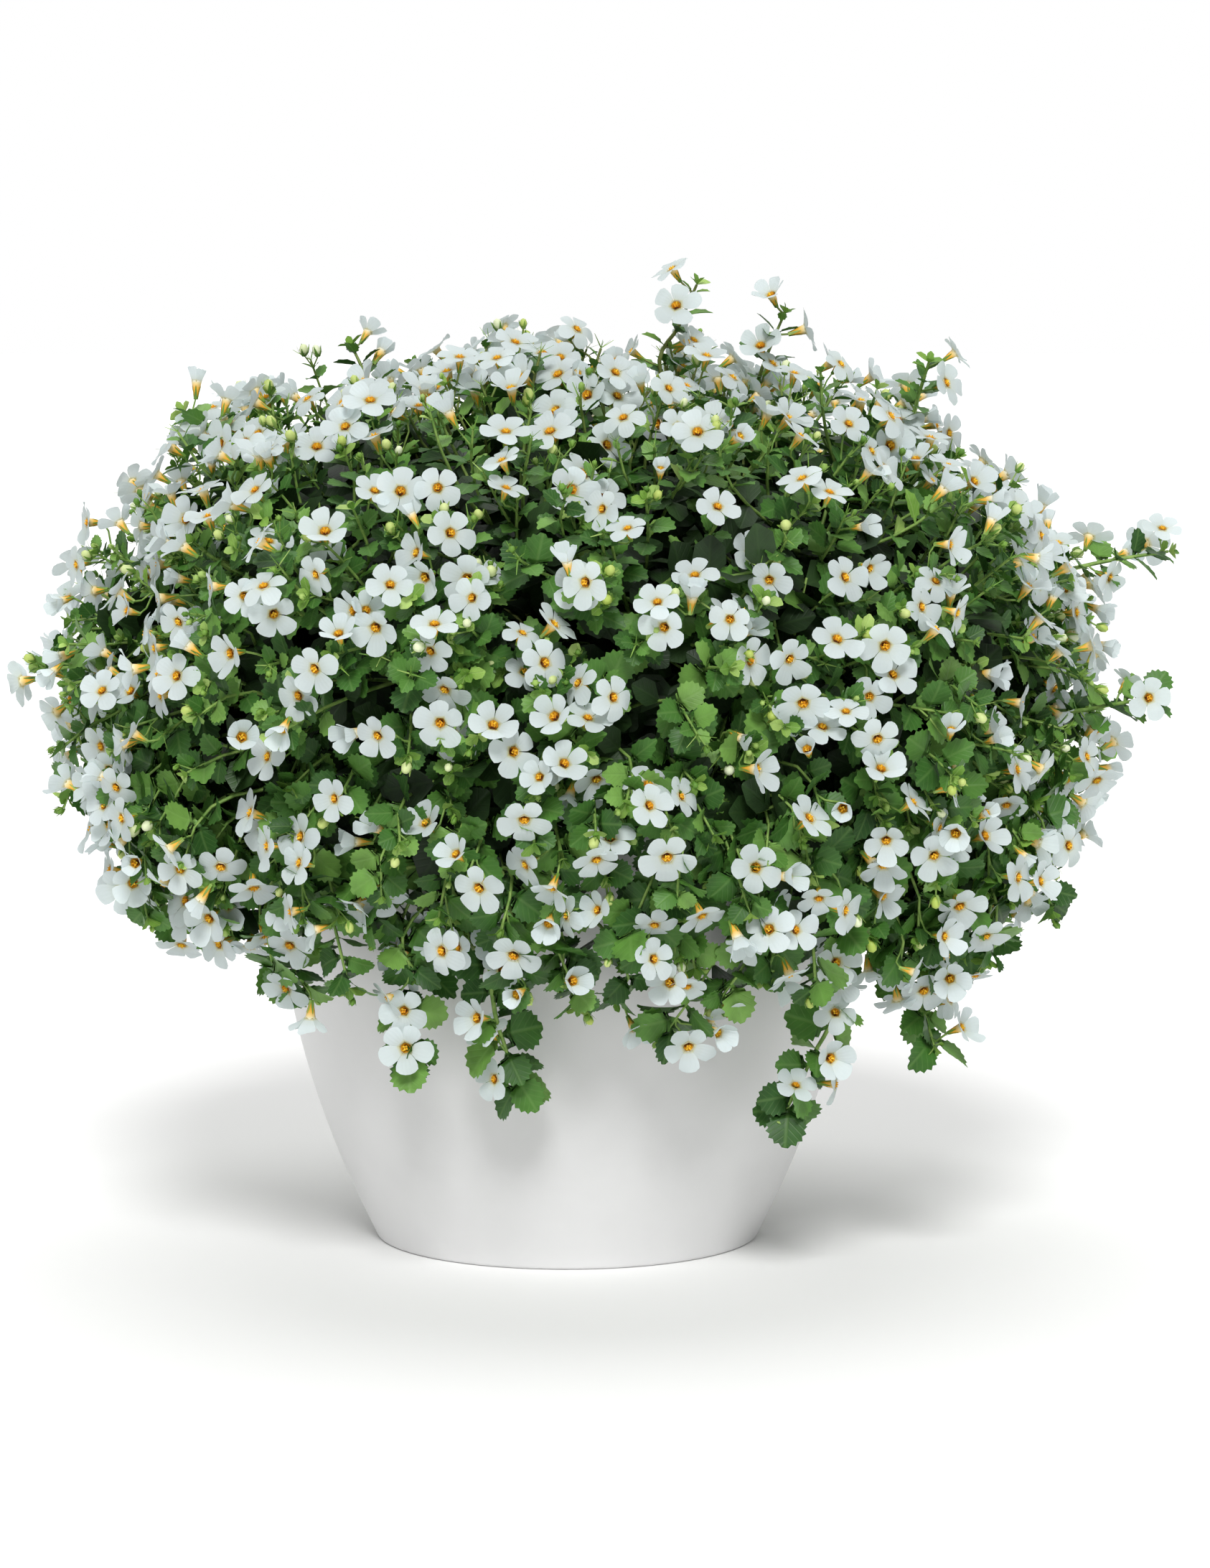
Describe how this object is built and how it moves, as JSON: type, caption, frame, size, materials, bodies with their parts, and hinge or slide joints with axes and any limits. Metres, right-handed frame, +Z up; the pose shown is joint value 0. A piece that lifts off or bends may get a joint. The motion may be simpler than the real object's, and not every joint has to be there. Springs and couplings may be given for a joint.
{
  "type": "potted bacopa",
  "caption": "Rounded trailing bacopa covered in small white five-petalled blooms, in a plain white round plastic pot that widens to its rim.",
  "frame": {"origin": "middle of the pot's flat underside, where it stands", "axes": "+Z up along the pot's axis; the plant's front, as the picture shows it, faces -Y"},
  "size_m": [0.491, 0.456, 0.418],
  "materials": {
    "pot": "smooth moulded white polypropylene with a soft satin gloss",
    "soil": "dark brown crumbly peat potting mix with perlite",
    "plant": "mid green toothed leaves, light green stems, and soft white petals with a yellow throat",
    "petal": "soft cool white petals with a yellow throat and tube"
  },
  "bodies": {
    "root": {"pot": "pot", "potting_soil": "soil", "shoot_01": "plant", "shoot_02": "plant", "shoot_03": "plant", "shoot_04": "plant", "shoot_05": "plant", "shoot_06": "plant", "shoot_07": "plant", "shoot_08": "plant", "shoot_09": "plant", "shoot_10": "plant", "shoot_11": "plant", "shoot_12": "plant", "shoot_13": "plant", "shoot_14": "plant", "shoot_15": "plant", "shoot_16": "plant", "shoot_17": "plant", "shoot_18": "plant", "shoot_19": "plant", "shoot_20": "plant", "shoot_21": "plant", "shoot_22": "plant", "shoot_23": "plant", "shoot_24": "plant", "shoot_25": "plant", "shoot_26": "plant", "shoot_27": "plant", "shoot_28": "plant", "shoot_29": "plant", "shoot_30": "plant", "shoot_31": "plant", "shoot_32": "plant", "shoot_33": "plant", "shoot_34": "plant", "shoot_35": "plant", "shoot_36": "plant", "shoot_37": "plant", "shoot_38": "plant", "shoot_39": "plant", "shoot_40": "plant", "shoot_41": "plant", "shoot_42": "plant", "shoot_43": "plant", "shoot_44": "plant", "shoot_45": "plant", "shoot_46": "plant", "shoot_47": "plant", "shoot_48": "plant", "shoot_49": "plant", "shoot_50": "plant"}
  },
  "joints": []
}
